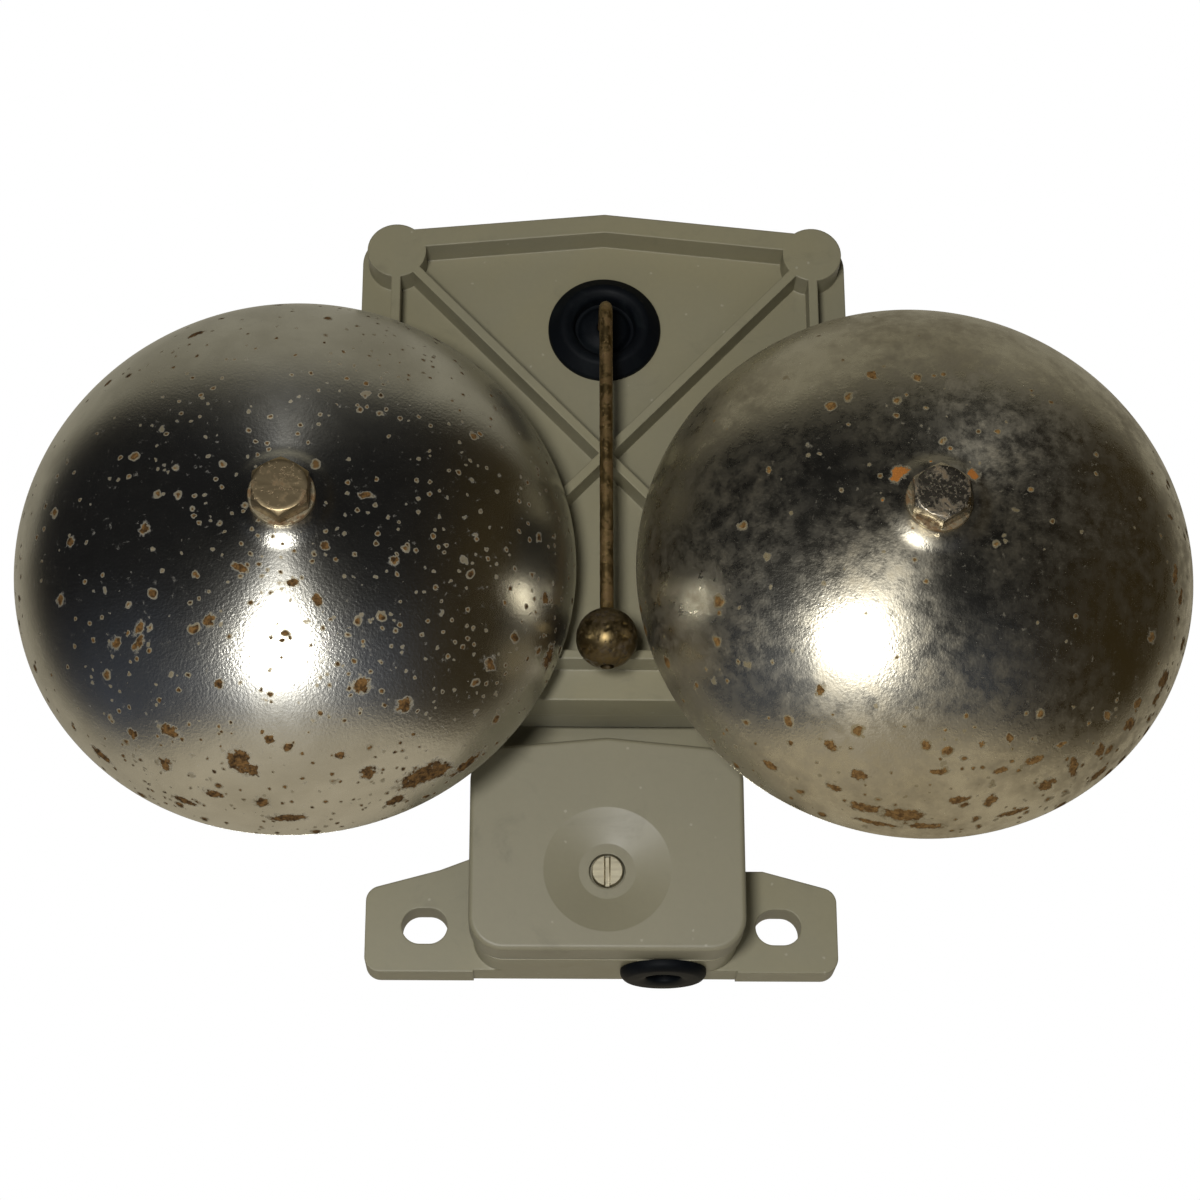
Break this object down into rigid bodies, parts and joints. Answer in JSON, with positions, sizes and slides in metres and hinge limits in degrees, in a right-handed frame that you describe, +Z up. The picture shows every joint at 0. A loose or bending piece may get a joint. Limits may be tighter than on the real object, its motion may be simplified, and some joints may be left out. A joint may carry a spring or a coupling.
{
  "type": "electric wall bell",
  "caption": "Weatherproof electric wall bell: a pair of domed gongs in front of a ribbed housing, a swinging striker ball between them, and a terminal box with slotted ears below.",
  "frame": {"origin": "midway between the two wall slots, on the back plane that lies against the wall", "axes": "+X to the viewer's right, +Y into the wall so the gongs face -Y, +Z up"},
  "size_m": [0.2212, 0.0815, 0.1479],
  "materials": {
    "housing": "satin moulded plastic, dusty",
    "lid": "satin moulded plastic, scuffed",
    "rubber": "matt, slightly bloomed",
    "gong": "bright plated, pitted with rust",
    "rusty_steel": "rusted zinc plate",
    "rod": "tarnished, brown",
    "steel": "zinc plated",
    "nickel": "nickel plated, brushed",
    "iron": "soft iron, plated",
    "magnet": "cast magnet",
    "brass": "plain",
    "copper": "enamelled wire",
    "bobbin": "moulded",
    "fibre": "pressed fibre",
    "insulation": "wire covering"
  },
  "bodies": {
    "housing": {"base_housing": "housing", "front_cover": "housing", "terminal_lid": "lid", "housing_gasket": "rubber", "lid_gasket": "rubber", "left_gong": "gong", "right_gong": "gong", "left_gong_bolt": "rusty_steel", "right_gong_bolt": "rusty_steel", "gong_washers": "rusty_steel", "fibre_washers": "fibre", "left_pillar": "steel", "right_pillar": "steel", "gong_arm": "steel", "movement_plate": "steel", "bearing_bridge": "steel", "bridge_screws": "steel", "rear_bush": "brass", "front_bush": "brass", "left_bobbin": "bobbin", "left_winding": "copper", "right_bobbin": "bobbin", "right_winding": "copper", "yoke": "iron", "coil_cores": "iron", "bias_magnet": "magnet", "shaft_grommet": "rubber", "cable_grommet": "rubber", "terminal_block": "bobbin", "terminals": "brass", "terminal_screws": "brass", "terminal_block_screw": "steel", "coil_leads": "insulation", "terminal_lid_screw": "nickel", "cover_screws": "steel", "arm_screws": "steel", "movement_screws": "steel", "yoke_screws": "steel"},
    "striker": {"striker_rod": "rod", "striker_ball": "rod", "armature": "iron", "armature_screw": "steel"}
  },
  "joints": [
    {"name": "striker_swing", "type": "hinge", "parent": "housing", "child": "striker", "pos_m": [0, -0.03, 0.1142], "axis": [0, 1, 0], "range_deg": [-1.7, 1.7], "stiffness_Nm_per_rad": 0.02}
  ]
}
